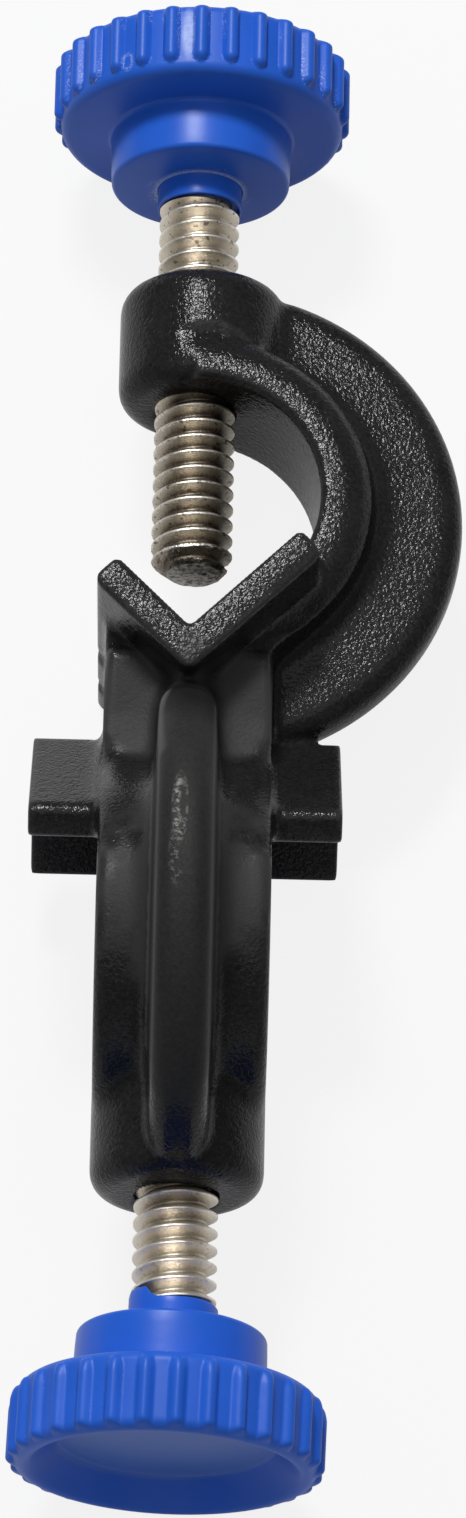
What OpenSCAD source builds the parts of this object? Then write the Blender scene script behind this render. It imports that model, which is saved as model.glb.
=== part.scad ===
// Boss head clamp: two V jaws set at right angles in one casting, each closed by a hand screw.
// Millimetres. The stand jaw grips an upright rod along Z, the rod jaw grips a level rod along X,
// and both screws run along Y. The origin is the middle of the stand jaw's V groove.

/* [Jaws] */
// Length of each V along the rod that it grips
jaw_l = 29.8; // [24:1:40]
// Angle between the screw and each face of a V
jaw_half_angle = 45; // [40:1:50]
// Thickness of the plates that form a V
plate_t = 3.3; // [2.5:0.1:4.5]
// Slope length of the plate on the open side of the jaw
free_plate = 10.1; // [8.8:0.1:12]
// Slope length of the plate on the arm's side of the jaw
arm_plate = 14.7; // [12.5:0.1:17]

/* [Arms] */
// Distance between the centres of the two arms' curves
arm_pitch = 45.2; // [42:0.2:54.4]
// Inside radius of each arm's curve
arm_r = 12.4; // [11.2:0.1:14.9]
// Thickness of the arm's flange
flange_t = 5.1; // [4:0.1:6.5]
// Width of the flange and of the block between the jaws
body_w = 16.4; // [13.6:0.1:19.7]
// Height of the stiffening rib over the flange
rib_h = 9.1; // [6:0.1:11.5]
// Distance from the screw out to the centre of the rib's curve
rib_shift = 1.25; // [0:0.05:2.5]
// Thickness of the rib at its crest
rib_t = 5.4; // [4:0.1:7]
// Rounding of the rib's crest
rib_round = 2.3; // [0.5:0.1:2.6]
// Rounding of the inside corners where the rib stands on the flange
rib_fillet = 2; // [0.5:0.1:3]
// Slope of the rib's sides, as left by the casting mould
draft = 2; // [0:0.5:4]

/* [Bosses] */
// Diameter of the boss that each screw runs through
boss_d = 16.5; // [13.7:0.1:19.8]
// Distance from the screw to the boss's centre, towards the arm
boss_shift = 0.6; // [0:0.05:1]
// Length of a boss along its screw
boss_l = 12.6; // [9:0.1:15]
// Rounding of a boss's rims
boss_round = 2.1; // [0.5:0.1:2.5]

/* [Screws] */
// Outside diameter of the screw's thread
stud_d = 8; // [6.6:0.1:9.6]
// Diameter of the stud inside its knob, at the bottom of the thread
seat_d = 6.4; // [5.2:0.1:7.2]
// Length of a stud from its seat in the knob to its tip
stud_l = 50.4; // [44:0.1:56]
// Length of the bevel at a stud's tip
tip_bevel = 1.3; // [0.4:0.1:1.8]
// Running clearance round a stud
stud_gap = 0.04; // [0.01:0.01:0.09]
// Space left between the V's bottom and the tip of the stand screw
stand_gap = 12.0; // [9:0.1:14]
// Space left between the V's bottom and the tip of the rod screw
rod_gap = 13.2; // [9:0.1:14]

/* [Knobs] */
// Diameter of a knob over its grip ribs
knob_d = 30; // [25:0.2:36]
// Number of grip ribs round a knob
grip_n = 30; // [20:1:36]
// Width of one grip rib
grip_w = 1.5; // [1:0.1:1.8]
// Height of a grip rib over the rim
grip_h = 0.8; // [0.4:0.1:0.9]
// Length of the ribbed rim along the screw
rim_l = 6.6; // [4.5:0.1:8]
// Height of the domed shoulder between the rim and the hub
dome_h = 2.2; // [1:0.1:4]
// Diameter of the hub
hub_d = 18.2; // [14:0.1:22]
// Length of the hub beyond the shoulder
hub_l = 4.2; // [3:0.1:7]
// Diameter of the collar round the stud
collar_d = 8.4; // [8:0.1:11.5]
// Length of the collar beyond the hub
collar_l = 2.7; // [1:0.1:4]
// Diameter of the dished face at its mouth
dish_d = 25.8; // [20:0.2:26.4]
// Depth of the dished face
dish_h = 2.6; // [1:0.1:3.2]
// Thickness of plastic between the dish and the stud's seat
knob_floor = 2.9; // [1.5:0.1:4]
// Turn of the stand screw's knob from the place where the gap between two ribs is straight up
stand_turn = 5; // [-6:0.1:6]
// Turn of the rod screw's knob from the place where the gap between two ribs is straight up
rod_turn = -2.4; // [-6:0.1:6]
// Lean of the rod screw's knob on its stud, as its moulding left it
rod_lean = 1.7; // [0:0.1:2.5]

/* [Hidden] */
$fn = 64;

arm_y = arm_pitch / 2;
vee_y = arm_y - arm_r / sin(jaw_half_angle);
boss_y = arm_y + arm_r - 0.1;
flange_r = arm_r + flange_t;
rib_r = flange_r + rib_h - rib_shift;
rib_foot = rib_t + 2 * rib_h * tan(draft);
rib_start = 76;
rib_end = 84;
along = [sin(jaw_half_angle), cos(jaw_half_angle)];
across = [cos(jaw_half_angle), -sin(jaw_half_angle)];
cast_round = 1.1;
rim_r = knob_d / 2 - grip_h;
knob_l = rim_l + dome_h + hub_l + collar_l;
seat_l = dish_h + knob_floor;
thread_start = knob_l - seat_l + stud_gap + collar_d / 2 * sin(rod_lean);
tip_r = stud_d / 2 - tip_bevel;
far = 100;

// A corner q between p and s, rounded to radius r in n steps; radius 0 keeps it sharp.
function unit(v) = v / norm(v);
function turned(a) = a > 180 ? a - 360 : a < -180 ? a + 360 : a;
function corner(p, q, s, r, n) =
    r == 0 ? [q] :
    let (u = unit(p - q), v = unit(s - q), half = acos(u * v) / 2,
         centre = q + unit(u + v) * r / sin(half),
         from = q + u * r / tan(half) - centre, to = q + v * r / tan(half) - centre,
         start = atan2(from[1], from[0]), sweep = turned(atan2(to[1], to[0]) - start))
    [for (i = [0:n]) centre + r * [cos(start + sweep * i / n), sin(start + sweep * i / n)]];

// An outline given as [x, y, corner radius] points.
function rounded(pts, n = 4) = let (m = len(pts), xy = [for (p = pts) [p[0], p[1]]])
    [for (i = [0:m - 1]) each corner(xy[(i + m - 1) % m], xy[i], xy[(i + 1) % m], pts[i][2], n)];

// The second half of the clamp is the first half turned about the line x = z through its middle.
module half_turn() rotate(180, [1, 0, 1]) children();

// Lays a shape that stands along Z so that it runs along -Y from y.
module along_screw(y) translate([0, y, 0]) rotate([90, 0, 0]) children();

// ---- casting ----

// The two plates of a V, seen along the rod.
module vee_outline() {
    bottom = [0, vee_y];
    arm_tip = bottom + arm_plate * along;
    free_tip = [-free_plate * along[0], vee_y + free_plate * along[1]];
    outer = plate_t * across;
    polygon(rounded([
        [bottom[0], bottom[1], 0],
        [arm_tip[0], arm_tip[1], 0.5],
        [arm_tip[0] + outer[0], arm_tip[1] + outer[1], cast_round],
        [0, vee_y - plate_t / sin(jaw_half_angle), 0.8],
        [free_tip[0] - outer[0], free_tip[1] + outer[1], cast_round],
        [free_tip[0], free_tip[1], 0.5]]));
}

// The flange's section, with radius across and the rod's direction up.
module flange_section() {
    w = body_w / 2;
    polygon(rounded([
        [arm_r, -w, 0.7], [flange_r, -w, cast_round], [flange_r, w, cast_round], [arm_r, w, 0.7]]));
}

// The rib's section: it starts inside the flange, flares out of it and narrows towards its round crest.
module rib_section() {
    root = flange_r - rib_shift;
    foot = rib_foot / 2;
    flare = foot + rib_fillet + 0.2;
    polygon(rounded([
        [root - 1, -flare, 0], [root, -flare, 0], [root, -foot, rib_fillet], [rib_r, -rib_t / 2, rib_round],
        [rib_r, rib_t / 2, rib_round], [root, foot, rib_fillet], [root, flare, 0], [root - 1, flare, 0]], 6));
}

// One arm: the flange runs straight along the V and then curves round to the boss.
module arm() {
    straight = arm_r / tan(jaw_half_angle);
    translate([0, arm_y, 0]) {
        rotate([0, 0, -jaw_half_angle]) rotate_extrude(angle = jaw_half_angle + 90) flange_section();
        rotate([0, 0, -jaw_half_angle]) rotate([90, 0, 0]) linear_extrude(straight) flange_section();
    }
    intersection() {
        translate([rib_shift, arm_y, 0]) rotate([0, 0, -rib_start])
            rotate_extrude(angle = rib_start + rib_end) rib_section();
        translate([0, boss_y + boss_l - boss_round / 2 - far, -far / 2]) cube(far);
    }
}

// One boss, rounded at its two rims.
module boss() {
    r = boss_d / 2;
    translate([boss_shift, 0, 0]) along_screw(boss_y + boss_l) rotate_extrude()
        polygon(rounded([[0, 0, 0], [r, 0, boss_round], [r, boss_l, boss_round], [0, boss_l, 0]]));
}

// The post under one V, with its top inside the plates; the block is what the two posts share.
module post() {
    w = body_w / 2 - 0.1;
    top = vee_y - plate_t / 2 / sin(jaw_half_angle);
    rise = w / tan(jaw_half_angle);
    translate([0, 0, -w]) linear_extrude(2 * w)
        polygon([[0, top], [w, top + rise], [w, -far / 2], [-w, -far / 2], [-w, top + rise]]);
}

module casting() {
    color("#2b2c2d") origin() difference() {
        union() {
            intersection() {
                post();
                half_turn() post();
            }
            for (side = [0, 1]) rotate(180 * side, [1, 0, 1]) {
                translate([0, 0, -jaw_l / 2]) linear_extrude(jaw_l) vee_outline();
                arm();
                boss();
            }
        }
        for (side = [0, 1]) rotate(180 * side, [1, 0, 1])
            along_screw(boss_y + boss_l + 1) cylinder(d = stud_d + 2 * stud_gap, h = boss_l + 4);
    }
}

// ---- screws ----

// A stud, standing on the end that is seated in its knob; its thread starts clear of a leaning collar.
module stud() {
    rotate_extrude() polygon([
        [0, 0], [seat_d / 2, 0], [seat_d / 2, thread_start], [stud_d / 2, thread_start],
        [stud_d / 2, stud_l - tip_bevel], [tip_r, stud_l], [0, stud_l]]);
}

// ---- knobs ----

// Half of the knob's section, from the middle of its dished face to the end of its collar.
module knob_section() {
    hub_r = hub_d / 2;
    dish_r = dish_d / 2;
    shoulder = rim_l + dome_h;
    hub_end = shoulder + hub_l;
    steps = 8;
    polygon(rounded(concat(
        [[0, dish_h, 0], [dish_r - 2.4, dish_h, 1.2], [dish_r - 0.5, 0, 0.4], [rim_r, 0, 0.4]],
        [for (i = [0:steps]) [hub_r + 0.4 + (rim_r - hub_r - 0.4) * cos(90 * i / steps),
                              rim_l + dome_h * sin(90 * i / steps), 0]],
        [[hub_r, shoulder, 0], [hub_r - 0.15, hub_end, 0.6], [collar_d / 2, hub_end, 0],
         [collar_d / 2, knob_l, 0.3], [0, knob_l, 0]])));
}

// One grip rib, round at both ends, on the +X side of a knob.
module grip_rib() {
    r = grip_w / 2;
    start = 0.1;
    end = rim_l - 0.4;
    translate([knob_d / 2 - r, 0, 0]) rotate_extrude($fn = 16)
        polygon(rounded([[0, start, 0], [r, start, r * 0.5], [r, end, r * 0.6], [0, end, 0]], 3));
}

// A knob with its dished face at z = 0 and its collar pointing up. Its ribs are turned round it, and it leans
// about the end of its collar while the seat in it stays true to the screw.
module knob(turn, lean) {
    difference() {
        translate([0, 0, knob_l]) rotate([-lean, 0, 0]) rotate([0, 0, turn]) translate([0, 0, -knob_l]) {
            rotate_extrude($fn = 60) knob_section();
            for (i = [0:grip_n - 1]) rotate([0, 0, (i + 0.5) * 360 / grip_n]) grip_rib();
        }
        translate([0, 0, seat_l - stud_gap]) cylinder(d = seat_d + 2 * stud_gap, h = far);
    }
}

// ---- places ----

// Moves the stand jaw's groove to the origin.
module origin() translate([0, -vee_y, 0]) children();

// Puts a shape that stands on its knob end at its place on a screw whose tip leaves the given space.
module on_screw(gap, from_seat) along_screw(vee_y + gap + stud_l + from_seat) children();

module stand_screw() color("#b9b2a4") origin() on_screw(stand_gap, 0) stud();
module stand_knob() color("#2a5fc8") origin() on_screw(stand_gap, seat_l) knob(90 + stand_turn, 0);
module rod_screw() color("#b9b2a4") origin() half_turn() on_screw(rod_gap, 0) stud();
module rod_knob() color("#2a5fc8") origin() half_turn() on_screw(rod_gap, seat_l)
    knob(90 + rod_turn, rod_lean);

casting();
stand_screw();
stand_knob();
rod_screw();
rod_knob();
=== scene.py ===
# Boss head clamp: a powder-coated casting, two rolled studs and two moulded knobs, lying on a pale bench.
import math

import bpy
import numpy as np
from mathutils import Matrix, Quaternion, Vector


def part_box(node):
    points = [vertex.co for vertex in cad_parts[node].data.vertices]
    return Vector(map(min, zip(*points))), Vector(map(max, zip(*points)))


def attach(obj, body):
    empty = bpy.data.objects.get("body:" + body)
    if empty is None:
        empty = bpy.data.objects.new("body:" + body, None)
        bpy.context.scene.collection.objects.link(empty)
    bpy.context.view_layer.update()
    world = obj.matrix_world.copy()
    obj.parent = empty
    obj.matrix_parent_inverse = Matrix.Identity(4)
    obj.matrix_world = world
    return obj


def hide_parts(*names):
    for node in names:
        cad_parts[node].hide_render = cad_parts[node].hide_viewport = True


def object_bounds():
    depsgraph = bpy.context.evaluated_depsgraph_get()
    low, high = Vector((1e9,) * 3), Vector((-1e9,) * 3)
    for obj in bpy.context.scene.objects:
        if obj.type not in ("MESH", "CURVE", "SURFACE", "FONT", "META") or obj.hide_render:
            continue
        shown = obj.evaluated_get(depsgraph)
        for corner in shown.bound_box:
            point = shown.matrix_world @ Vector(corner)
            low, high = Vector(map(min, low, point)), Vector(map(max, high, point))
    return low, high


MM = 0.001

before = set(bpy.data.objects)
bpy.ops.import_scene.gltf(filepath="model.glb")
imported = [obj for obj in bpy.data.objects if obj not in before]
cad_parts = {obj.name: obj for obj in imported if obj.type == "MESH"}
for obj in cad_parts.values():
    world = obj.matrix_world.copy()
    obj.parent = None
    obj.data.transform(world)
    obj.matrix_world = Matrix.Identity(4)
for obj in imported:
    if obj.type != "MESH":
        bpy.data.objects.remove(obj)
cad_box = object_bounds()

# ---- sizes, in metres ----

# studs
STUD_R = 4.0 * MM
ROOT_R = 2.96 * MM
PITCH = 1.7 * MM
THREAD_STEPS = 80
SEAT_R = 3.2 * MM
TIP_BEVEL = 1.3 * MM
BEVEL_ASIDE = 0.3 * MM
WORN_L = 3.4 * MM

# knobs
KNOB_R = 15.0 * MM
RIM_R = 14.2 * MM
RIM_L = 6.6 * MM
SHOULDER_H = 1.0 * MM
HUB_R = 9.1 * MM
HUB_L = 5.4 * MM
COLLAR_R = 4.2 * MM
COLLAR_L = 2.7 * MM
KNOB_L = RIM_L + SHOULDER_H + HUB_L + COLLAR_L
LIP_R = 13.2 * MM
LIP_ROUND = 1.0 * MM
LIP_H = 0.75 * MM
DISH_H = 2.7 * MM
DISH_FLOOR_R = 9.9 * MM
DISH_FILLET = 0.6 * MM
SEAT_H = 5.5 * MM
SEAT_GAP = 0.04 * MM
GRIP_RIBS = 30
RIB_R = 0.75 * MM
SPIN_STEPS = 600
TIP_TO_FACE = 55.9 * MM
ROD_LEAN = 1.7

# casting
VOXEL = 0.37 * MM
BORE_R = STUD_R + 0.04 * MM
BORE_ZONE_R = STUD_R + 0.9 * MM
STAND_BOSS_Y = 28 * MM
ROD_BOSS_Y = -38 * MM
BLOCK_FRONT = 8.1 * MM
BLOCK_HALF = 8.7 * MM
BLOCK_END = -11.5 * MM
FRONT_SLOPE = 0.14
FRONT_SLOPE_FROM = -6.5 * MM
RIB_HALF = 3.3 * MM
RIB_START = -9 * MM
RIB_SWEEP_END = -24 * MM
ARM_MIDDLE = 17.54 * MM
FLANGE_OUTER = 17.6 * MM
FLANGE_FALL_FROM = 14.5 * MM
FLANGE_FALL = 150
FILL_ROUNDS = 60
EASE_ROUNDS = 4
WEAR_ROUNDS = 10
WEAR_FROM = 0.025 * MM
WEAR_DEPTH = 0.07 * MM
HOLLOW_ROUNDS = 9
HOLLOW_FROM = 0.04 * MM
SWEEP_ROUNDS = 110

# where the tips and the knobs' outer faces lie along Y
stand_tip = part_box("stand_screw")[0].y
stand_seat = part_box("stand_screw")[1].y
stand_face = stand_tip + TIP_TO_FACE
rod_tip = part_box("rod_screw")[1].y
rod_face = rod_tip - TIP_TO_FACE
bench_z = cad_box[0].z

# ---- hand tools ----


def put_down_everything():
    if bpy.context.object and bpy.context.object.mode != "OBJECT":
        bpy.ops.object.mode_set(mode="OBJECT")
    bpy.ops.object.select_all(action="DESELECT")


def take_up(piece):
    put_down_everything()
    piece.select_set(True)
    bpy.context.view_layer.objects.active = piece


def points_of(piece):
    co = np.zeros(len(piece.data.vertices) * 3)
    piece.data.vertices.foreach_get("co", co)
    return co.reshape(-1, 3)


def set_points(piece, co):
    piece.data.vertices.foreach_set("co", np.ascontiguousarray(co, dtype=np.float64).ravel())
    piece.data.update()


def normals_of(piece):
    n = np.zeros(len(piece.data.vertices) * 3)
    piece.data.vertices.foreach_get("normal", n)
    return n.reshape(-1, 3)


def turn_points(co, angle):
    """Turns points round the screws' axis, from +X towards +Z."""
    x, z = co[:, 0].copy(), co[:, 2].copy()
    co[:, 0] = x * math.cos(angle) - z * math.sin(angle)
    co[:, 2] = x * math.sin(angle) + z * math.cos(angle)


def mark_points(piece, name, value):
    """Keeps a number for every point, under a name that the finishes read."""
    made = piece.data.attributes.new(name, "FLOAT", "POINT")
    made.data.foreach_set("value", value.astype(np.float32))


def going_up(value, start, length):
    """0 up to start, then rising to 1 over the length."""
    return np.clip((value - start) / length, 0, 1)


def going_down(value, end, length):
    """1 until the length before end, then falling to 0 at end."""
    return np.clip((end - value) / length, 0, 1)


def pick_points(piece, chosen):
    """Selects the vertices in the mask, and the edges and faces whose corners are all in it."""
    mesh = piece.data
    chosen = np.asarray(chosen, bool)
    mesh.vertices.foreach_set("select", chosen)
    ends = np.zeros(len(mesh.edges) * 2, np.int32)
    mesh.edges.foreach_get("vertices", ends)
    mesh.edges.foreach_set("select", chosen[ends.reshape(-1, 2)].all(1))
    mesh.polygons.foreach_set("select", np.array([chosen[list(f.vertices)].all() for f in mesh.polygons]))


def apply_modifier(piece, kind, **settings):
    take_up(piece)
    made = piece.modifiers.new(kind.title(), kind)
    for name, value in settings.items():
        setattr(made, name, value)
    bpy.ops.object.modifier_apply(modifier=made.name)


def tidy_surface(piece, gap=0.004 * MM):
    """Welds doubled points and turns every face outwards."""
    take_up(piece)
    bpy.ops.object.mode_set(mode="EDIT")
    bpy.ops.mesh.select_all(action="SELECT")
    bpy.ops.mesh.remove_doubles(threshold=gap)
    bpy.ops.mesh.normals_make_consistent(inside=False)
    bpy.ops.object.mode_set(mode="OBJECT")


def draw_outline(name, outline):
    """A chain of edges drawn point by point in the X-Y plane."""
    put_down_everything()
    x, y = outline[0]
    bpy.ops.mesh.primitive_plane_add(size=MM, location=(x, y, 0))
    line = bpy.context.object
    line.name = name
    bpy.ops.object.transform_apply(location=True, rotation=True, scale=True)
    bpy.ops.object.mode_set(mode="EDIT")
    bpy.ops.mesh.select_all(action="SELECT")
    bpy.ops.mesh.merge(type="CENTER")
    for (x, y), (x0, y0) in zip(outline[1:], outline):
        bpy.ops.mesh.extrude_vertices_move(TRANSFORM_OT_translate={"value": (x - x0, y - y0, 0)})
    bpy.ops.object.mode_set(mode="OBJECT")
    return line


def arc(x, y, r, start, end, steps):
    """Points on a curve round (x, y), with its angles in degrees."""
    turns = np.radians(np.linspace(start, end, steps + 1))
    return [(x + r * math.cos(t), y + r * math.sin(t)) for t in turns]


def run(start, end, steps):
    """Points from start to end, without the last."""
    return [
        (start[0] + (end[0] - start[0]) * i / steps, start[1] + (end[1] - start[1]) * i / steps)
        for i in range(steps)
    ]


def second_piece(piece, name):
    """A copy with its own mesh."""
    copy = piece.copy()
    copy.data = piece.data.copy()
    copy.name = name
    bpy.context.scene.collection.objects.link(copy)
    return copy


def shade(piece, angle):
    take_up(piece)
    bpy.ops.object.shade_smooth_by_angle(angle=math.radians(angle))


# ---- studs ----


def thread_outline(low):
    """One pitch of the rolled thread: a narrow root, straight flanks and a narrow crest with eased edges."""
    depth = STUD_R - ROOT_R
    half = PITCH / 2
    section = [
        (0.00, 0.00), (0.08, 0.005), (0.15, 0.03), (0.21, 0.08), (0.26, 0.15), (0.41, 0.356), (0.56, 0.562),
        (0.71, 0.768), (0.84, 0.946), (0.87, 0.98), (0.905, 1.0), (0.95, 1.0), (1.00, 1.0),
    ]
    up = [(ROOT_R + depth * h, low + half * t) for t, h in section]
    down = [(ROOT_R + depth * h, low + half * (2 - t)) for t, h in reversed(section[:-1])]
    return up + down


def crest_place(stud):
    """How far the thread's crest at the front (+Z) lies along the stud, as a part of a pitch."""
    co = points_of(stud)
    front = (np.abs(co[:, 0]) < 0.2 * MM) & (co[:, 2] > STUD_R - 0.01 * MM)
    turn = np.exp(2j * np.pi * co[front, 1] / PITCH).mean()
    return (np.angle(turn) / (2 * np.pi)) % 1


def set_crest(stud, y):
    """Turns a stud's thread round its axis until a crest at the front lies at y."""
    shift = ((y / PITCH) % 1 - crest_place(stud)) * 2 * math.pi
    co = points_of(stud)
    turn_points(co, shift)
    set_points(stud, co)


def ripple(co, size, seed):
    """A smooth, repeatable unevenness from -1 to 1 over points, with waves of about the given size."""
    rng = np.random.default_rng(seed)
    total = np.zeros(len(co))
    for i in range(10):
        way = rng.normal(size=3)
        way *= 2 * math.pi / (size * (0.6 + 0.8 * rng.random())) / np.linalg.norm(way)
        total += np.sin(co @ way + rng.random() * 6.283)
    return np.clip(total / 3.2, -1, 1)


def cut_thread(name, tip, mouth):
    """A right-hand thread along +Y, reaching past the tip and the knob's mouth, its ends still open."""
    turns = math.ceil((mouth - tip) / PITCH) + 3
    stud = draw_outline(name, thread_outline(tip - 2 * PITCH))
    apply_modifier(
        stud, "SCREW", axis="Y", angle=2 * math.pi, screw_offset=PITCH, iterations=turns,
        steps=THREAD_STEPS, render_steps=THREAD_STEPS, use_merge_vertices=True, merge_threshold=0.002 * MM,
    )
    tidy_surface(stud)
    return stud


def trim_stud(stud, tip, seat_end, mouth):
    """Cuts a thread off at the tip and at the knob's mouth and draws the plain seat out of the upper end."""
    for place, normal in ((tip, -1), (mouth, 1)):
        take_up(stud)
        bpy.ops.object.mode_set(mode="EDIT")
        bpy.ops.mesh.select_all(action="SELECT")
        bpy.ops.mesh.bisect(
            plane_co=(0, place, 0), plane_no=(0, normal, 0), use_fill=True, clear_outer=True, threshold=1e-7
        )
        bpy.ops.object.mode_set(mode="OBJECT")
    pick_points(stud, points_of(stud)[:, 1] > mouth - 1e-6)
    bpy.ops.object.mode_set(mode="EDIT")
    bpy.ops.mesh.extrude_region_move(TRANSFORM_OT_translate={"value": (0, 0, 0)})
    bpy.ops.object.mode_set(mode="OBJECT")
    chosen = np.zeros(len(stud.data.vertices), bool)
    stud.data.vertices.foreach_get("select", chosen)
    co = points_of(stud)
    reach = np.hypot(co[:, 0], co[:, 2])
    co[chosen, 0] *= SEAT_R / reach[chosen]
    co[chosen, 2] *= SEAT_R / reach[chosen]
    set_points(stud, co)
    bpy.ops.object.mode_set(mode="EDIT")
    bpy.ops.mesh.extrude_region_move(TRANSFORM_OT_translate={"value": (0, seat_end - mouth, 0)})
    bpy.ops.object.mode_set(mode="OBJECT")


def bevel_tip(co, tip):
    """The rough bevel at the tip, a little to one side."""
    near = np.clip(1 - (co[:, 1] - tip) / TIP_BEVEL, 0, 1)
    side = BEVEL_ASIDE * near
    x = co[:, 0] - side
    reach = np.hypot(x, co[:, 2])
    rough = 0.05 * MM * ripple(co, 0.9 * MM, 3) + 0.03 * MM * ripple(co, 0.35 * MM, 4)
    most = STUD_R - 1.04 * TIP_BEVEL * near + rough * (near > 0)
    share = np.minimum(1, most / np.maximum(reach, 1e-9))
    cut = (co[:, 1] < tip + TIP_BEVEL) & (reach > 0.5 * MM)
    co[cut, 0] = x[cut] * share[cut] + side[cut]
    co[cut, 2] *= share[cut]


def knock_crests(co, tip):
    """The burred, knocked crests of the last two turns."""
    reach = np.hypot(co[:, 0], co[:, 2])
    worn = np.clip(1 - (co[:, 1] - tip - 0.2 * MM) / WORN_L, 0, 1) * (co[:, 1] > tip + 0.05 * MM)
    crest = going_up(reach, ROOT_R, STUD_R - ROOT_R)
    knock = 0.10 * MM * ripple(co, 0.5 * MM, 5) * worn * crest
    along = 0.12 * MM * ripple(co, 0.45 * MM, 6) * worn * crest
    share = np.minimum(reach + knock, STUD_R) / np.maximum(reach, 1e-9)
    co[:, 0] *= share
    co[:, 2] *= share
    co[:, 1] = np.maximum(co[:, 1] + along, tip)


def wear_tip(stud, tip):
    """Bevels a stud's tip and wears its last two turns."""
    co = points_of(stud)
    bevel_tip(co, tip)
    knock_crests(co, tip)
    set_points(stud, co)


# ---- knobs ----


def dish_line():
    """The dish in the outer face, from its middle to its wall, and the lip round it."""
    line = [(0, DISH_H)] + run((2 * MM, DISH_H), (DISH_FLOOR_R, DISH_H), 4)
    line += arc(DISH_FLOOR_R, DISH_H - DISH_FILLET, DISH_FILLET, 90, 42, 4)
    line += run((10.9 * MM, 1.86 * MM), (12.2 * MM, 0.38 * MM), 3)
    line += arc(LIP_R, LIP_H, LIP_ROUND, 222, 270, 5)
    return line + arc(LIP_R, LIP_H, LIP_ROUND, 282, 360, 9)


def rim_line():
    """The rim under the ribs, closer set where the ribs end, and the domed shoulder behind it."""
    ribs_end, rim_end = RIM_L - 1.4 * MM, RIM_L - 0.4 * MM
    round_r = 1.1 * MM
    line = run((RIM_R, LIP_H + 0.3 * MM), (RIM_R, ribs_end), 9)
    line += run((RIM_R, ribs_end), (RIM_R, rim_end), 7)
    line += arc(RIM_R - round_r, rim_end, round_r, 0, 82, 8)
    dome_start = (RIM_R - 1.7 * MM, RIM_L + 0.74 * MM)
    dome_end = (HUB_R + 0.9 * MM, RIM_L + SHOULDER_H - 0.03 * MM)
    return line + run(dome_start, dome_end, 3)


def hub_line():
    """The hub, with a fillet at its foot, a slight draft and an eased edge."""
    foot = RIM_L + SHOULDER_H
    end = foot + HUB_L
    round_r = 0.5 * MM
    line = arc(HUB_R + round_r, foot + 0.45 * MM, round_r, 262, 182, 5)
    line += run((HUB_R - 0.02 * MM, foot + 0.8 * MM), (HUB_R - 0.12 * MM, end - 0.6 * MM), 4)
    line += arc(HUB_R - 0.65 * MM, end - round_r, round_r, 2, 82, 7)
    return line + run((HUB_R - 1.6 * MM, end + 0.08 * MM), (COLLAR_R + 0.5 * MM, end + 0.34 * MM), 3)


def collar_line():
    """The collar, with a bead at its foot, and the stud's seat in it."""
    foot = RIM_L + SHOULDER_H + HUB_L
    end = foot + COLLAR_L
    mouth_r, seat_r, round_r = STUD_R + 0.02 * MM, SEAT_R + SEAT_GAP, 0.12 * MM
    mouth_end = end - 0.7 * MM
    line = arc(COLLAR_R + 0.15 * MM, foot + 0.38 * MM, round_r, 10, 150, 5)
    line += run((COLLAR_R, foot + 0.6 * MM), (COLLAR_R, end - 0.2 * MM), 4)
    line += arc(COLLAR_R - round_r, end - round_r, round_r, 0, 90, 3)
    line += [(mouth_r, end), (mouth_r, mouth_end), (seat_r, mouth_end)]
    line += run((seat_r, end - 2 * MM), (seat_r, SEAT_H), 3)
    return line + [(seat_r, SEAT_H), (0, SEAT_H)]


def knob_outline():
    """Half of the moulding's section as (radius, height over the outer face), from the dish to the seat."""
    return dish_line() + rim_line() + hub_line() + collar_line()


def raise_ribs(knob, soft):
    """Pushes the rim out into half-round grip ribs that fade in behind the outer lip and end round. Marks
    where pale flash clings: the ribs' edges, and the bead at the foot of the collar."""
    co = points_of(knob)
    r = np.hypot(co[:, 0], co[:, 2])
    turn = np.degrees(np.arctan2(co[:, 2], co[:, 0]))
    step = 360 / GRIP_RIBS
    off = (turn / step - np.floor(turn / step) - 0.5) * step
    across = np.radians(off) * RIM_R
    last = RIM_L - 0.35 * MM - RIB_R * (1 + 0.6 * soft)
    beyond = np.maximum(co[:, 1] - last, 0)
    far = np.hypot(across, beyond * (1 - 0.6 * soft))
    base = RIB_R * (1.0 + 0.15 * soft)
    high = (KNOB_R - RIM_R) * (1 - 0.2 * soft)
    rise = high * np.clip(1 - (far / base) ** 2, 0, 1) ** (0.5 + 0.7 * soft)
    outer = going_up(co[:, 1], -0.05 * MM, 0.65 * MM)
    rise *= np.sqrt(1 - (1 - outer) ** 2)
    on_rim = (r > LIP_R) & (co[:, 1] < RIM_L)
    rise[~on_rim] = 0
    co[:, 0] *= 1 + rise / np.maximum(r, 1e-9)
    co[:, 2] *= 1 + rise / np.maximum(r, 1e-9)
    set_points(knob, co)
    flash_w = 0.16 * MM
    flash = np.exp(-(((far - base) / flash_w) ** 2)) * on_rim
    bead = np.abs(co[:, 1] - KNOB_L + COLLAR_L - 0.45 * MM) < flash_w
    flash[bead & (r > COLLAR_R + 0.05 * MM)] = 2
    mark_points(knob, "pale_flash", flash)


def mould_knob(name, soft):
    """A knob with its outer face at y = 0 and its collar towards +Y, a gap between two ribs on +X."""
    knob = draw_outline(name, knob_outline())
    take_up(knob)
    bpy.ops.object.mode_set(mode="EDIT")
    bpy.ops.mesh.select_all(action="SELECT")
    bpy.ops.mesh.spin(steps=SPIN_STEPS, angle=2 * math.pi, center=(0, 0, 0), axis=(0, 1, 0))
    bpy.ops.object.mode_set(mode="OBJECT")
    tidy_surface(knob, 0.003 * MM)
    raise_ribs(knob, soft)
    return knob


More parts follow.
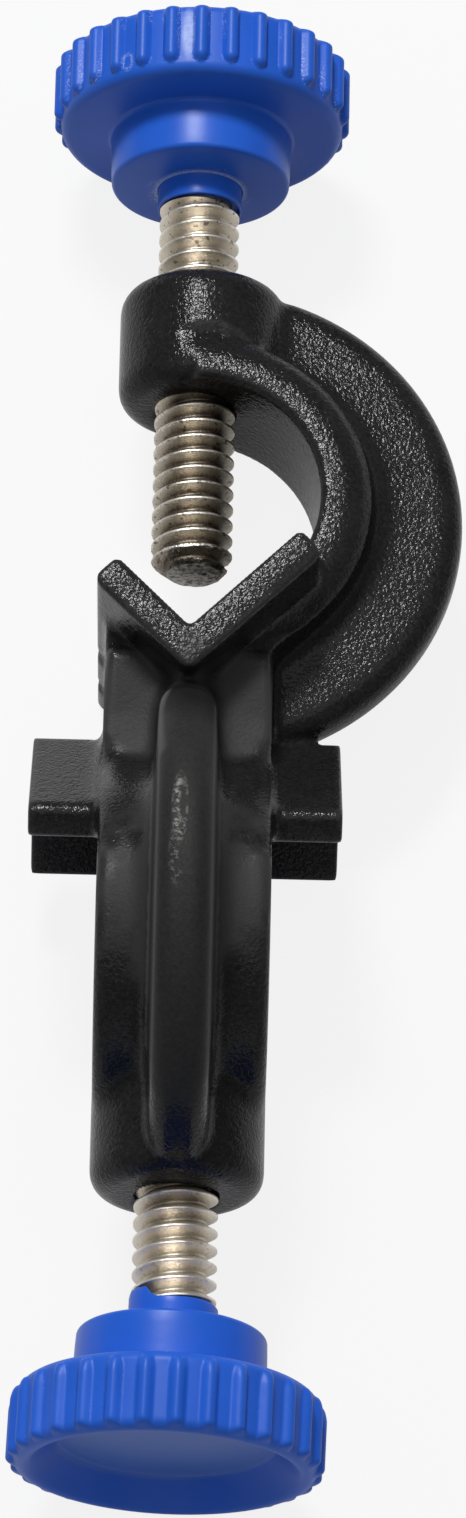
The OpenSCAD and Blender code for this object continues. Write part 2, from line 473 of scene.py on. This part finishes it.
def fit_knob(knob, outer_face, towards, turn, lean=0.0):
    """Turns a knob about its own axis and lays it on its screw, its collar pointing along towards (+1 or -1).
    A leaning knob tips about the end of its collar, and the bore in it stays true."""
    co = points_of(knob)
    bore = (np.hypot(co[:, 0], co[:, 2]) < STUD_R + 0.05 * MM) & (co[:, 1] > SEAT_H - 0.1 * MM)
    if towards < 0:
        co = co * [-1, -1, 1]
    turn_points(co, math.radians(turn))
    a = math.radians(-lean)
    x, y = co[:, 0].copy(), co[:, 1] - towards * KNOB_L
    co[~bore, 0] = (x * math.cos(a) - y * math.sin(a))[~bore]
    co[~bore, 1] = (x * math.sin(a) + y * math.cos(a) + towards * KNOB_L)[~bore]
    co[:, 1] += outer_face
    set_points(knob, co)


def tear_collar(knob, outer_face):
    """A torn tab of plastic that stands up from one side of the collar's end, against the thread."""
    co = points_of(knob)
    end = outer_face + KNOB_L
    r = np.hypot(co[:, 0], co[:, 2])
    turn = np.degrees(np.arctan2(co[:, 2], co[:, 0]))
    turn[turn < -90] += 360
    tab_turns = [112, 121, 128, 150, 165, 185, 205, 220]
    tab_heights = [0, 0.35, 0.95, 1.1, 1.0, 0.8, 0.3, 0]
    high = np.interp(turn, tab_turns, tab_heights) * MM
    high *= 1 + 0.12 * ripple(co * [1, 0, 1], 1.2 * MM, 8)
    lip = going_up(co[:, 1], end - 1.2 * MM, 1.0 * MM)
    held = (r > STUD_R + 0.005 * MM) & (r < COLLAR_R + 0.3 * MM)
    co[:, 1] += np.where(held, high * lip, 0)
    set_points(knob, co)


# ---- casting ----


def spread_out(piece, value, rounds):
    """Evens out a number per point over its neighbours, round after round."""
    ends = np.zeros(len(piece.data.edges) * 2, np.int32)
    piece.data.edges.foreach_get("vertices", ends)
    a, b = ends[0::2], ends[1::2]
    n = len(value)
    count = np.bincount(a, minlength=n) + np.bincount(b, minlength=n) + 1
    for _ in range(rounds):
        from_b = np.bincount(a, weights=value[b], minlength=n)
        from_a = np.bincount(b, weights=value[a], minlength=n)
        value = (value + from_b + from_a) / count
    return value


def copy_casting():
    """A merged copy of the plain casting, in fine even faces."""
    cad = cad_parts["casting"]
    cast = bpy.data.objects.new("casting_coated", cad.data.copy())
    bpy.context.scene.collection.objects.link(cast)
    take_up(cast)
    bpy.ops.object.mode_set(mode="EDIT")
    bpy.ops.mesh.select_all(action="SELECT")
    bpy.ops.mesh.remove_doubles(threshold=0.0005 * MM)
    bpy.ops.object.mode_set(mode="OBJECT")
    apply_modifier(cast, "REMESH", mode="VOXEL", voxel_size=VOXEL, adaptivity=0.0)
    return cast


def slope_front(co, out):
    """The block's front falls away from the stand jaw."""
    skin = 0.3 * MM
    facing_out = 0.85
    x, y, z = co.T
    front = (np.abs(z - BLOCK_FRONT) < skin) & (out[:, 2] > facing_out)
    front &= (np.abs(x) < BLOCK_HALF) & (y < 0) & (y > BLOCK_END)
    z[front] += (FRONT_SLOPE * np.maximum(y - FRONT_SLOPE_FROM, 0))[front]


def knock_side(co):
    """Two knocks in the block's left side."""
    deep = 0.5 * MM
    upper, upper_r = (-8.7 * MM, 3.9 * MM, -2.7 * MM), 1.3 * MM
    lower, lower_r = (-8.9 * MM, 4.2 * MM, -10.0 * MM), 1.1 * MM
    for knock, reach in ((upper, upper_r), (lower, lower_r)):
        near = np.clip(1 - (np.linalg.norm(co - knock, axis=1) / reach) ** 2, 0, 1)
        co[:, 0] += deep * near


def slope_flange(co):
    """The stand arm's flange falls away towards its outer edge on both faces."""
    first_turn, last_turn, turn_fade = -62, 96, 10
    face_z, face_fade = 6 * MM, 2 * MM
    x, y, z = co.T
    from_middle = np.hypot(x, y - ARM_MIDDLE)
    round_arm = np.degrees(np.arctan2(y - ARM_MIDDLE, x))
    falling = going_up(round_arm, first_turn, turn_fade) * going_down(round_arm, last_turn, turn_fade)
    falling *= going_up(np.abs(z), face_z, face_fade) * (from_middle < FLANGE_OUTER)
    z -= np.sign(z) * falling * FLANGE_FALL * np.maximum(from_middle - FLANGE_FALL_FROM, 0) ** 2


def smooth(piece, rounds, **settings):
    """Smooths a piece round after round, all over or in one of its vertex groups."""
    apply_modifier(piece, "SMOOTH", factor=0.5, iterations=rounds, **settings)


def rise_to(piece, other):
    """How far each point of a piece would move out, along its normal, to reach the same point of another."""
    return np.einsum("ij,ij->i", points_of(other) - points_of(piece), normals_of(piece))


def ease_edges(cast):
    """Eases the casting's edges. Returns how far every point lies below the form with its corners filled."""
    filled = second_piece(cast, "fillets")
    smooth(filled, FILL_ROUNDS)
    smooth(cast, EASE_ROUNDS)
    fill = rise_to(cast, filled)
    bpy.data.objects.remove(filled)
    return fill


def find_worn_edges(cast):
    """How far every point stands out of a smoother form, from 0 to 1."""
    worn = second_piece(cast, "worn_edges")
    smooth(worn, WEAR_ROUNDS)
    proud = -rise_to(cast, worn)
    bpy.data.objects.remove(worn)
    return going_up(proud, WEAR_FROM, WEAR_DEPTH)


def sweep_zone(co):
    """The outer skin of the rod arm and the block, where sweeps are allowed, from 0 to 1."""
    x, y, z = co.T
    over_middle = going_up(z, 5 * MM, 2 * MM) * going_down(np.abs(x), 8.3 * MM, 0.6 * MM)
    along_arm = going_down(y, 1 * MM, 2 * MM) * going_up(y, -50 * MM, 3 * MM)
    outside = BLOCK_FRONT + np.clip(-10.5 * MM - y, 0, 7.5 * MM)
    skin = going_up(z - outside, -2.4 * MM, 1 * MM)
    return over_middle * along_arm * skin


def upper_rib_end(co):
    """The rib's end by the stand jaw, from 0 to 1."""
    x, y, z = co.T
    middle_y, half_x, half_y = -4.4 * MM, 4 * MM, 2.6 * MM
    near = np.clip(1.5 - np.hypot(x / half_x, (y - middle_y) / half_y), 0, 1)
    return near * going_up(z, 6.5 * MM, 1 * MM) * (z < 14 * MM)


def find_sweeps(cast, co, fill):
    """Where the rod arm's rib and the block between the jaws run out in wide sweeps, from 0 to 1."""
    x, y, z = co.T
    flank = going_up(np.abs(x), RIB_HALF, 0.6 * MM) * (y > RIB_SWEEP_END) * (y < RIB_START)
    hollow = spread_out(cast, (fill > HOLLOW_FROM).astype(float), HOLLOW_ROUNDS)
    loose = sweep_zone(co) * np.maximum(np.clip(2.5 * hollow, 0, 1), flank)
    loose *= 1 - 0.75 * going_up(y, -12 * MM, 3 * MM)
    return np.maximum(loose, upper_rib_end(co))


def draw_sweeps(cast, loose):
    """Smooths the casting where it is loose, more the looser it is."""
    group = cast.vertex_groups.new(name="sweeps")
    for tenth in range(1, 11):
        group.add(np.flatnonzero(np.round(loose * 10) == tenth).tolist(), tenth / 10, "REPLACE")
    smooth(cast, SWEEP_ROUNDS, vertex_group="sweeps")
    cast.vertex_groups.clear()


def true_bores(cast, eased, out, in_bore):
    """Puts the walls of both bores back to their size."""
    co = points_of(cast)
    reach = np.hypot(eased[:, 0], eased[:, 2])
    facing = np.einsum("ij,ij->i", out[:, [0, 2]], eased[:, [0, 2]])
    wall = in_bore & (facing < -0.5 * reach)
    true = BORE_R / np.maximum(reach, 1e-9)
    co[wall, 0] = eased[wall, 0] * true[wall]
    co[wall, 2] = eased[wall, 2] * true[wall]
    set_points(cast, co)


def painted_streak_sheen(co):
    """A painted highlight: the streak where the rib springs from the block, fading along its length."""
    start, end = np.array([-2.3, -7.4, 14.9]) * MM, np.array([-2.5, -16.3, 22.6]) * MM
    streak_r = 0.75 * MM
    along = np.clip((co - start) @ (end - start) / ((end - start) @ (end - start)), 0, 1)
    off = np.linalg.norm(co - start - along[:, None] * (end - start), axis=1)
    return np.clip(1.4 - off / streak_r, 0, 1) * (1 - 0.6 * along)


def painted_shoulder_sheen(co, side):
    """Painted highlights: the two lines along the rib's shoulders, where its skin turns to the side. The left
    one is paler.
    """
    tilt, tilt_range = 0.93, 0.05
    left, right = 0.5, 0.38
    shoulder = np.exp(-(((np.abs(side) - tilt) / tilt_range) ** 2)) * (np.abs(co[:, 0]) < RIB_HALF)
    shoulder *= (co[:, 2] > 12 * MM) * (co[:, 1] < RIB_START)
    return shoulder * np.where(side < 0, left, right)


def mark_rubbed_and_sheen(cast, edges):
    """Marks where the coat is rubbed thin, a little along the outside edges, together with the painted
    highlights: most in the streak, less along the rib's shoulders.
    """
    co = points_of(cast)
    rubbed_and_painted_sheen = np.maximum(0.15 * edges, painted_streak_sheen(co))
    rubbed_and_painted_sheen = np.maximum(rubbed_and_painted_sheen, painted_shoulder_sheen(co, normals_of(cast)[:, 0]))
    mark_points(cast, "rubbed_and_painted_sheen", rubbed_and_painted_sheen)


def cast_body():
    """The casting as it comes out of the mould: its inside corners filleted and its edges eased."""
    cast = copy_casting()
    co, out = points_of(cast), normals_of(cast)
    slope_front(co, out)
    knock_side(co)
    slope_flange(co)
    set_points(cast, co)
    fill = ease_edges(cast)
    eased, out = points_of(cast), normals_of(cast)
    in_boss = (eased[:, 1] > STAND_BOSS_Y) | (eased[:, 1] < ROD_BOSS_Y)
    in_bore = (np.hypot(eased[:, 0], eased[:, 2]) < BORE_ZONE_R) & in_boss
    edges = find_worn_edges(cast) * ~in_bore
    loose = find_sweeps(cast, eased, fill)
    filling = np.maximum(fill, 0) * (1 - loose) * ~in_bore
    set_points(cast, eased + out * filling[:, None])
    draw_sweeps(cast, loose)
    true_bores(cast, eased, out, in_bore)
    mark_rubbed_and_sheen(cast, edges)
    take_up(cast)
    bpy.ops.object.shade_smooth()
    return cast


# ---- finishes ----


class Finish:
    """A material and short ways to wire its nodes."""

    def __init__(self, name):
        self.material = bpy.data.materials.new(name)
        self.material.use_nodes = True
        self.tree = self.material.node_tree
        self.shader = self.tree.nodes["Principled BSDF"]

    def node(self, kind, **settings):
        made = self.tree.nodes.new(kind)
        for name, value in settings.items():
            setattr(made, name, value)
        return made

    def link(self, out, into):
        self.tree.links.new(out, into)

    def wire(self, out, name):
        """Links a value into one of the shader's own sockets."""
        self.link(out, self.shader.inputs[name])

    def set(self, name, value):
        """Sets one of the shader's own sockets, the same all over."""
        self.shader.inputs[name].default_value = value

    def place(self):
        return self.node("ShaderNodeTexCoord").outputs["Object"]

    def axes(self, where):
        split = self.node("ShaderNodeSeparateXYZ")
        self.link(where, split.inputs[0])
        return [split.outputs[axis] for axis in "XYZ"]

    def mark(self, name):
        """A number that mark_points has kept on the piece."""
        return self.node("ShaderNodeAttribute", attribute_name=name).outputs["Fac"]

    def math(self, operation, a, b=None, clamp=False):
        made = self.node("ShaderNodeMath", operation=operation, use_clamp=clamp)
        for value, socket in ((a, made.inputs[0]), (b, made.inputs[1])):
            if value is None:
                continue
            if isinstance(value, (int, float)):
                socket.default_value = value
            else:
                self.link(value, socket)
        return made.outputs[0]

    def times(self, a, b, clamp=False):
        return self.math("MULTIPLY", a, b, clamp)

    def plus(self, a, b, clamp=False):
        return self.math("ADD", a, b, clamp)

    def minus(self, a, b, clamp=False):
        return self.math("SUBTRACT", a, b, clamp)

    def most(self, a, b):
        return self.math("MAXIMUM", a, b)

    def from_axis(self, x, z):
        """The distance from the screws' axis."""
        return self.math("SQRT", self.plus(self.times(x, x), self.times(z, z)))

    def ramp(self, value, stops):
        """stops are (place, colour)."""
        made = self.node("ShaderNodeValToRGB")
        while len(made.color_ramp.elements) < len(stops):
            made.color_ramp.elements.new(0.5)
        for element, (where, colour) in zip(made.color_ramp.elements, stops):
            element.position = where
            element.color = (*colour, 1)
        self.link(value, made.inputs["Fac"])
        return made.outputs["Color"]

    def noise(self, where, scale, detail, roughness=0.5, distortion=0.0):
        made = self.node("ShaderNodeTexNoise")
        made.inputs["Scale"].default_value = scale
        made.inputs["Detail"].default_value = detail
        made.inputs["Roughness"].default_value = roughness
        made.inputs["Distortion"].default_value = distortion
        self.link(where, made.inputs["Vector"])
        return made.outputs["Fac"]

    def mix(self, amount, a, b):
        """Goes from colour a to colour b as the amount goes from 0 to 1."""
        made = self.node("ShaderNodeMix", data_type="RGBA")
        for value, socket in ((amount, made.inputs[0]), (a, made.inputs[6]), (b, made.inputs[7])):
            if isinstance(value, tuple):
                socket.default_value = (*value, 1)
            else:
                self.link(value, socket)
        return made.outputs[2]

    def patch(self, where, centre, half, fade):
        """1 in an egg-shaped patch with the given half sizes, fading to 0 round its border."""
        moved = self.node("ShaderNodeMapping")
        moved.inputs["Scale"].default_value = [1 / h for h in half]
        moved.inputs["Location"].default_value = [-c / h for c, h in zip(centre, half)]
        self.link(where, moved.inputs["Vector"])
        size = self.node("ShaderNodeVectorMath", operation="LENGTH")
        self.link(moved.outputs["Vector"], size.inputs[0])
        return self.span(size.outputs["Value"], 1 + fade, 1 - fade)

    def span(self, value, low, high, to_low=0.0, to_high=1.0):
        """Takes a value from low..high to to_low..to_high, and holds it there."""
        made = self.node("ShaderNodeMapRange")
        for name, number in (("From Min", low), ("From Max", high), ("To Min", to_low), ("To Max", to_high)):
            made.inputs[name].default_value = number
        self.link(value, made.inputs["Value"])
        return made.outputs["Result"]

    def bump(self, height, distance, strength=1.0, below=None):
        made = self.node("ShaderNodeBump")
        made.inputs["Strength"].default_value = strength
        made.inputs["Distance"].default_value = distance
        self.link(height, made.inputs["Height"])
        if below is not None:
            self.link(below, made.inputs["Normal"])
        return made.outputs["Normal"]


def coat_scar(coat, at):
    """The torn scar on the rod arm's rib: a pale border round a sound core, and streaks towards the boss."""
    torn = coat.noise(at, 1700, 4.0, 0.7)
    border = coat.patch(at, (-0.5 * MM, -23.4 * MM, 26.1 * MM), (0.7 * MM, 3.5 * MM, 2.4 * MM), 0.25)
    streaks = coat.patch(at, (-0.75 * MM, -28.2 * MM, 26.5 * MM), (0.6 * MM, 2.6 * MM, 2.4 * MM), 0.4)
    core = coat.patch(at, (-0.2 * MM, -22.9 * MM, 26.1 * MM), (0.34 * MM, 2.3 * MM, 2.4 * MM), 0.5)
    scar = coat.times(border, coat.span(torn, 0.43, 0.55, 0.08, 1.0))
    scar = coat.most(scar, coat.times(streaks, coat.span(torn, 0.48, 0.58, 0.0, 0.5)))
    return coat.times(scar, coat.minus(1.0, core))


def powder_coat():
    """Black powder coat: a pebbled skin that glints, smoother on the rod arm's back and the block's front.
    It is rubbed thin along its edges and has a scar on the rod arm's rib; its colour also carries painted
    highlights and painted shade."""
    # hollows and crests: painted shade in the pebbles' hollows and a painted highlight on their crests
    hollows = (0.007, 0.007, 0.007)
    crests = (0.018, 0.018, 0.0175)
    drifts = (0.022, 0.022, 0.023)
    flank_painted_light = (0.036, 0.036, 0.0365)
    jaw_shadow_coat = (0.003, 0.003, 0.0035)
    thin_coat_and_sheen = (0.115, 0.117, 0.12)
    torn_coat = (0.25, 0.245, 0.235)
    coat = Finish("black_powder_coat")
    at = coat.place()
    x, _, z = coat.axes(at)
    pebble = coat.noise(at, 2700, 1.0, distortion=0.6)
    grit = coat.noise(at, 7500, 1.0)
    drift = coat.noise(at, 240, 2.0)

    back_from, back_to, back_drift = 18.3 * MM, 20.2 * MM, 6 * MM
    back = coat.plus(z, coat.times(drift, back_drift))
    pebbled = coat.span(back, back_from, back_to, 1.0, 0.0)
    block = coat.patch(at, (0, -5.5 * MM, 8.0 * MM), (9.8 * MM, 6.5 * MM, 4.5 * MM), 0.12)
    pebbled = coat.times(pebbled, coat.minus(1.0, coat.times(block, 0.92)))
    height = coat.plus(pebble, coat.times(grit, 0.12))
    height = coat.times(coat.minus(height, 0.6), coat.span(pebbled, 0, 1, 0.4, 1.0))
    scar = coat_scar(coat, at)
    # Painted shadow: a dark patch on the rib's top end, under the stand jaw, which is also made rougher.
    corner = coat.patch(at, (0.9 * MM, -7.6 * MM, 16.0 * MM), (3.2 * MM, 4.6 * MM, 6.6 * MM), 0.5)

    # The colour follows the pebble noise that drives the bump: painted shade in the hollows, painted
    # highlight on the crests.
    colour = coat.mix(coat.span(pebble, 0.3, 0.75), hollows, crests)
    colour = coat.mix(coat.span(drift, 0.35, 0.75, 0.0, 0.35), colour, drifts)
    # Painted light: where the coat is smooth it is painted lighter, most on the flanges beside the rib, less
    # on its crest.
    beside = coat.span(coat.math("ABSOLUTE", x), 2.6 * MM, 3.6 * MM, 0.3, 1.0)
    smoother = coat.times(coat.span(pebbled, 0, 1, 0.75, 0.0), beside)
    colour = coat.mix(smoother, colour, flank_painted_light)
    # Painted shadow under the stand jaw.
    colour = coat.mix(coat.times(corner, 0.85), colour, jaw_shadow_coat)
    # Lighter coat where it is rubbed thin at the edges, and painted highlights in the streak and along the
    # rib's shoulders.
    colour = coat.mix(coat.mark("rubbed_and_painted_sheen"), colour, thin_coat_and_sheen)
    colour = coat.mix(scar, colour, torn_coat)
    coat.wire(colour, "Base Color")

    rough = coat.plus(coat.span(pebbled, 0, 1, 0.55, 0.15), coat.times(scar, 0.2))
    rough = coat.plus(rough, coat.times(corner, 0.4), clamp=True)
    coat.wire(rough, "Roughness")
    coat.set("Specular IOR Level", 0.17)
    skin = coat.bump(height, 0.08 * MM)
    coat.wire(coat.bump(scar, 0.15 * MM, 1.0, skin), "Normal")
    return coat.material


def plated_steel(name, bright, dirt, clean_from, clean_to, tip, dot):
    """Nickel over rolled steel: bright crests and tan flanks, darker and browner towards the thread's root.
    It gets cleaner along Y from clean_from to clean_to. The tip is burred. Its end is scuffed grey with a
    dark dot in it."""
    root = (0.16 * bright, 0.136 * bright, 0.108 * bright)
    flank = (0.40 * bright, 0.352 * bright, 0.285 * bright)
    upper_flank = (0.54 * bright, 0.49 * bright, 0.415 * bright)
    crest = (0.84, 0.80, 0.72)
    clean_nickel = (0.93, 0.86, 0.74)
    pit = (0.05, 0.04, 0.03)
    dark_dot = (0.03, 0.025, 0.02)
    scuff_dark = (0.26, 0.23, 0.20)
    scuff_pale = (0.88, 0.85, 0.80)
    steel = Finish(name)
    at = steel.place()
    x, y, z = steel.axes(at)
    height = steel.span(steel.from_axis(x, z), ROOT_R, STUD_R)
    from_tip = steel.math("ABSOLUTE", steel.minus(y, tip))
    grime = steel.noise(at, 800, 4.0, 0.62)
    grain = steel.noise(at, 5200, 2.0, 0.6)

    # Colour by depth in the thread: lightest at the crest, darkest at the root.
    level = steel.plus(height, steel.times(steel.minus(grime, 0.5), 0.6))
    level = steel.plus(level, steel.times(steel.minus(grain, 0.5), 0.9), clamp=True)
    colour = steel.ramp(level, [(0.0, root), (0.4, flank), (0.85, upper_flank), (1.0, crest)])
    clean = steel.span(y, clean_from, clean_to)
    colour = steel.mix(steel.times(clean, 0.5), colour, clean_nickel)
    pits = steel.span(steel.noise(at, 1500, 2.0, 0.5), 0.33, 0.38, dirt, 0.0)
    colour = steel.mix(pits, colour, pit)
    end = steel.span(from_tip, 0.02 * MM, 0.05 * MM, 1.0, 0.0)
    scuffed = steel.ramp(steel.noise(at, 1900, 3.0, 0.65), [(0.38, scuff_dark), (0.56, scuff_pale)])
    colour = steel.mix(end, colour, scuffed)
    colour = steel.mix(steel.patch(at, dot, (0.27 * MM, 0.3 * MM, 0.27 * MM), 0.2), colour, dark_dot)
    steel.wire(colour, "Base Color")

    steel.set("Metallic", 1.0)
    rough = steel.plus(steel.span(grime, 0.3, 0.75, 0.38, 0.54), steel.times(end, 0.2))
    steel.wire(rough, "Roughness")
    burred = steel.span(from_tip, WORN_L, 1.2 * MM, 0.4, 1.6)
    scuff = steel.times(steel.noise(at, 3200, 3.0, 0.6), burred)
    steel.wire(steel.bump(scuff, 0.10 * MM, 0.9), "Normal")
    return steel.material


def plastic_scuff_and_highlight(plastic, at, fine):
    """Two marks on the stand knob's rim: a streak of painted highlight on the facet between two ribs, and a
    small scuffed loop.
    """
    # Painted highlight: a pale streak at the top of the rim, between two ribs.
    streak = plastic.patch(at, (-1.5 * MM, 64.8 * MM, 14.0 * MM), (0.65 * MM, 2.5 * MM, 0.9 * MM), 0.3)
    streak = plastic.times(streak, plastic.span(plastic.noise(at, 1200, 3.0, 0.6), 0.3, 0.6, 0.25, 0.6))
    loop_at = (-7.57 * MM, 62.5 * MM, 12.2 * MM)
    outside = plastic.patch(at, loop_at, (0.62 * MM, 1.0 * MM, 0.9 * MM), 0.2)
    inside = plastic.patch(at, loop_at, (0.34 * MM, 0.68 * MM, 0.9 * MM), 0.2)
    loop = plastic.minus(outside, inside, clamp=True)
    return plastic.most(streak, plastic.times(loop, plastic.span(fine, 0.44, 0.6, 0.05, 0.5)))


def plastic_flash(plastic, at, fine, flecks):
    """Pale flash: flecks along the ribs' edges, and the bead at the foot of the collar."""
    edge = plastic.mark("pale_flash")
    where = plastic.span(plastic.noise(at, 170, 1.0), 0.45, 0.62)
    fleck = plastic.times(edge, plastic.span(fine, 0.54, 0.62), clamp=True)
    fleck = plastic.times(plastic.times(fleck, where), flecks)
    bead = plastic.times(plastic.span(edge, 1.3, 1.9, 0.0, 0.5), plastic.span(fine, 0.35, 0.5, 0.5, 1.0))
    return fleck, bead


def blue_plastic(name, painted_light_gain, flecks, dish):
    """Royal blue moulded plastic with a satin skin, pale flash, a scuff, a painted highlight on the rim, and
    painted light lifting the floor of the dish.
    """
    # Painted light: both blues are scaled per knob, lighter on the rod knob, standing in for light that does
    # not reach it.
    deep_blue = (0.014 * painted_light_gain, 0.094 * painted_light_gain, 0.51 * painted_light_gain)
    light_blue = (0.017 * painted_light_gain, 0.105 * painted_light_gain, 0.57 * painted_light_gain)
    pale_blue = (0.42, 0.52, 0.78)
    painted_dish_light_blue = (0.11, 0.21, 0.52)
    plastic = Finish(name)
    at = plastic.place()
    x, _, z = plastic.axes(at)
    cloud = plastic.noise(at, 160, 3.0)
    fine = plastic.noise(at, 5200, 2.0, 0.6)

    colour = plastic.ramp(cloud, [(0.3, deep_blue), (0.7, light_blue)])
    fleck, bead = plastic_flash(plastic, at, fine, flecks)
    pale = plastic.most(plastic.most(fleck, plastic_scuff_and_highlight(plastic, at, fine)), bead)
    colour = plastic.mix(pale, colour, pale_blue)
    # Painted light: a paler patch over the floor of the dish, standing in for light that does not reach it.
    painted_dish_light = plastic.patch(at, (0, dish, 0), (10.8 * MM, 0.9 * MM, 10.8 * MM), 0.1)
    colour = plastic.mix(plastic.times(painted_dish_light, 0.55), colour, painted_dish_light_blue)
    plastic.wire(colour, "Base Color")

    rough = plastic.span(plastic.from_axis(x, z), 10.5 * MM, 12.5 * MM, 0.29, 0.37)
    plastic.wire(plastic.plus(rough, plastic.times(cloud, 0.08)), "Roughness")
    plastic.set("Specular IOR Level", 0.25)
    skin = plastic.noise(at, 900, 2.0)
    plastic.wire(plastic.bump(skin, 0.03 * MM, 0.4), "Normal")
    return plastic.material


def pale_paper():
    """The bench: pale paper. Camera and reflections see it as lit from below, so its shadows stay light."""
    paper_glow = 0.86
    mirrored_share = 0.45
    paper = Finish("pale_paper")
    paper.set("Base Color", (0.62, 0.62, 0.62, 1))
    paper.set("Roughness", 0.9)
    paper.set("Specular IOR Level", 0.2)
    ray = paper.node("ShaderNodeLightPath")
    mirrored = paper.most(ray.outputs["Is Glossy Ray"], ray.outputs["Is Transmission Ray"])
    seen = paper.most(ray.outputs["Is Camera Ray"], paper.times(mirrored, mirrored_share))
    glow = paper.node("ShaderNodeEmission")
    glow.inputs["Strength"].default_value = 1.0
    both = paper.node("ShaderNodeMixShader")
    paper.link(paper.times(seen, paper_glow), both.inputs["Fac"])
    paper.link(paper.shader.outputs["BSDF"], both.inputs[1])
    paper.link(glow.outputs["Emission"], both.inputs[2])
    paper.link(both.outputs["Shader"], paper.tree.nodes["Material Output"].inputs["Surface"])
    return paper.material


def finish_piece(piece, material):
    piece.data.materials.clear()
    piece.data.materials.append(material)


# ---- the clamp ----

casting = cast_body()
finish_piece(casting, powder_coat())
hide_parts("casting")
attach(casting, "casting")

stand_mouth = stand_face - KNOB_L - SEAT_GAP
stand_stud = cut_thread("stand_stud", stand_tip, stand_mouth)
rod_stud = second_piece(stand_stud, "rod_stud")
set_crest(stand_stud, 1.64 * MM)
set_crest(rod_stud, 1.0 * MM)
for stud in (stand_stud, rod_stud):
    trim_stud(stud, stand_tip, stand_seat, stand_mouth)
    wear_tip(stud, stand_tip)
    tidy_surface(stud, 0.001 * MM)
set_points(rod_stud, points_of(rod_stud) * [-1, -1, 1] + [0, rod_tip + stand_tip, 0])

stand_dot = (1.3 * MM, stand_tip, 0.4 * MM)
rod_dot = (-0.6 * MM, rod_tip, 1.0 * MM)
for stud, node, body, bright, dirt, clean_from, clean_to, tip, dot in (
    (stand_stud, "stand_screw", "stand_knob", 1.02, 0.7, 32 * MM, 46 * MM, stand_tip, stand_dot),
    (rod_stud, "rod_screw", "rod_knob", 1.4, 0.2, -50 * MM, -58 * MM, rod_tip, rod_dot),
):
    shade(stud, angle=50)
    finish_piece(stud, plated_steel(node + "_nickel", bright, dirt, clean_from, clean_to, tip, dot))
    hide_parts(node)
    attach(stud, body)

stand_grip = mould_knob("stand_knob_moulding", soft=0.15)
rod_grip = mould_knob("rod_knob_moulding", soft=1.0)
fit_knob(stand_grip, stand_face, towards=-1, turn=85)
fit_knob(rod_grip, rod_face, towards=1, turn=92.4, lean=ROD_LEAN)
tear_collar(rod_grip, rod_face)
# The rod knob's blue is painted lighter than the stand knob's, in place of light.
for grip, node, painted_light_gain, flecks, dish in (
    (stand_grip, "stand_knob", 1.03, 0.75, stand_face - DISH_H),
    (rod_grip, "rod_knob", 1.16, 0.1, rod_face + DISH_H),
):
    shade(grip, angle=40)
    finish_piece(grip, blue_plastic(node + "_blue_plastic", painted_light_gain, flecks, dish))
    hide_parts(node)
    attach(grip, node)

# ---- bench, light and camera ----

put_down_everything()
bpy.ops.mesh.primitive_plane_add(size=3.0, location=(0, 0, bench_z - 0.02 * MM))
bench = bpy.context.object
bench.name = "bench"
bpy.ops.object.transform_apply(location=True, rotation=True, scale=True)
finish_piece(bench, pale_paper())


def soft_lamp(name, place, width, height, level):
    """A soft box at a place in metres. It faces the clamp and lights it to a part of a plain level."""
    place = Vector(place)
    lamp = bpy.data.lights.new(name, "AREA")
    lamp.shape = "RECTANGLE"
    lamp.size, lamp.size_y = width, height
    lamp.energy = level * (math.pi * place.length) ** 2
    stand = bpy.data.objects.new(name, lamp)
    bpy.context.scene.collection.objects.link(stand)
    stand.location = place
    stand.rotation_mode = "QUATERNION"
    stand.rotation_quaternion = (-place).to_track_quat("-Z", "Y")


def light_air(level, wall_grey):
    """Even white light from all round. The camera sees a pale wall in its place."""
    world = bpy.data.worlds.new("studio")
    bpy.context.scene.world = world
    world.use_nodes = True
    air = world.node_tree
    light = air.nodes["Background"]
    light.inputs["Color"].default_value = (1, 1, 1, 1)
    light.inputs["Strength"].default_value = level
    far_wall = air.nodes.new("ShaderNodeBackground")
    far_wall.inputs["Color"].default_value = (wall_grey, wall_grey, wall_grey, 1)
    seen = air.nodes.new("ShaderNodeMixShader")
    air.links.new(air.nodes.new("ShaderNodeLightPath").outputs["Is Camera Ray"], seen.inputs["Fac"])
    air.links.new(light.outputs["Background"], seen.inputs[1])
    air.links.new(far_wall.outputs["Background"], seen.inputs[2])
    air.links.new(seen.outputs["Shader"], air.nodes["World Output"].inputs["Surface"])


def place_camera():
    """A long lens that looks down the clamp's length from the rod knob's side."""
    target = Vector((4.5, -7.2, -0.6)) * MM
    distance, azimuth, elevation, roll = 628.3 * MM, -1.13, 66.91, 2.43
    a, e = math.radians(azimuth), math.radians(elevation)
    back = Vector((math.sin(a) * math.cos(e), -math.cos(a) * math.cos(e), math.sin(e)))
    lens = bpy.data.cameras.new("camera")
    lens.lens = 153.55
    lens.sensor_width = 36
    lens.clip_start, lens.clip_end = 0.05, 10
    camera = bpy.data.objects.new("camera", lens)
    bpy.context.scene.collection.objects.link(camera)
    camera.location = target + back * distance
    camera.rotation_mode = "QUATERNION"
    camera.rotation_quaternion = (-back).to_track_quat("-Z", "Y") @ Quaternion((0, 0, 1), math.radians(roll))
    bpy.context.scene.camera = camera


soft_lamp("overhead_box", (-0.10, 0.35, 0.59), width=0.17, height=0.12, level=0.74)
soft_lamp("wide_box", (-0.03, 0.02, 0.85), width=0.9, height=0.75, level=0.26)
soft_lamp("front_box", (0.0, -0.60, 0.12), width=0.4, height=0.2, level=0.04)
light_air(level=0.18, wall_grey=0.93)
place_camera()
bpy.context.scene.view_settings.view_transform = "Standard"
